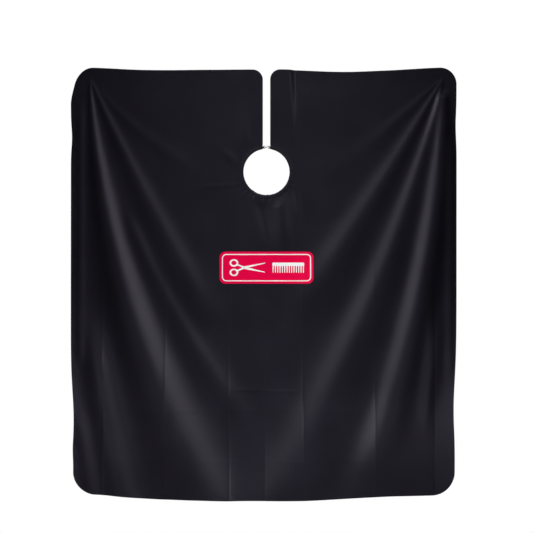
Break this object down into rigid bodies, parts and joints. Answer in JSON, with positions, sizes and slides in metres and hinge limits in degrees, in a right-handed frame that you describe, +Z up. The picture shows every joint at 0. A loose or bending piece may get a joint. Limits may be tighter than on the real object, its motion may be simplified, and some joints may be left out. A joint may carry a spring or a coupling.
{
  "type": "barber cape",
  "caption": "Black barber cape with a split back, elasticated neckband, wire hook-and-ring closure, turned hem and a red chest badge, hung with its draped folds.",
  "frame": {"origin": "centre of the neck opening", "axes": "+Z up, towards the back slit; X across the width, with the hook side at -X; the badge side faces -Y"},
  "size_m": [1.349, 0.0641, 1.512],
  "materials": {
    "cape_cloth": "close plain-weave polyester with a soft satin sheen and pressed creases",
    "hem_cloth": "the same cloth turned twice and stitched",
    "band_cloth": "the same cloth gathered over elastic",
    "elastic": "woven black elastic",
    "thread": "polyester sewing thread",
    "loop_tape": "narrow woven tape",
    "black_wire": "black coated steel wire",
    "red_film": "heat-pressed red film with a soft gloss",
    "white_film": "heat-pressed white film"
  },
  "bodies": {
    "front": {"front_panel": "cape_cloth", "front_hem": "hem_cloth", "front_hem_stitching": "thread", "neckband_front": "band_cloth", "elastic_front": "elastic", "neckband_stitching_front": "thread", "badge": "red_film", "badge_motif": "white_film"},
    "left_flap": {"left_back_flap": "cape_cloth", "left_flap_hem": "hem_cloth", "left_flap_stitching": "thread", "neckband_left": "band_cloth", "elastic_left": "elastic", "neckband_stitching_left": "thread", "hook_loop": "loop_tape", "hook_loop_bartack": "thread"},
    "right_flap": {"right_back_flap": "cape_cloth", "right_flap_hem": "hem_cloth", "right_flap_stitching": "thread", "neckband_right": "band_cloth", "elastic_right": "elastic", "neckband_stitching_right": "thread", "ring_loop": "loop_tape", "ring_loop_bartack": "thread"},
    "hook": {"closure_hook": "black_wire"},
    "ring": {"closure_ring": "black_wire"}
  },
  "joints": [
    {"name": "left_shoulder_fold", "type": "hinge", "parent": "front", "child": "left_flap", "pos_m": [-0.35, 0.0024, 0], "axis": [-1, 0, 0], "range_deg": [0, 170]},
    {"name": "right_shoulder_fold", "type": "hinge", "parent": "front", "child": "right_flap", "pos_m": [0.35, 0.0024, 0], "axis": [-1, 0, 0], "range_deg": [0, 170]},
    {"name": "hook_pivot", "type": "hinge", "parent": "left_flap", "child": "hook", "pos_m": [-0.0098, 0, 0.0862], "axis": [0, 0, 1], "range_deg": [-80, 80]},
    {"name": "ring_pivot", "type": "hinge", "parent": "right_flap", "child": "ring", "pos_m": [0.0109, 0, 0.0862], "axis": [0, 0, 1], "range_deg": [-80, 80]}
  ]
}
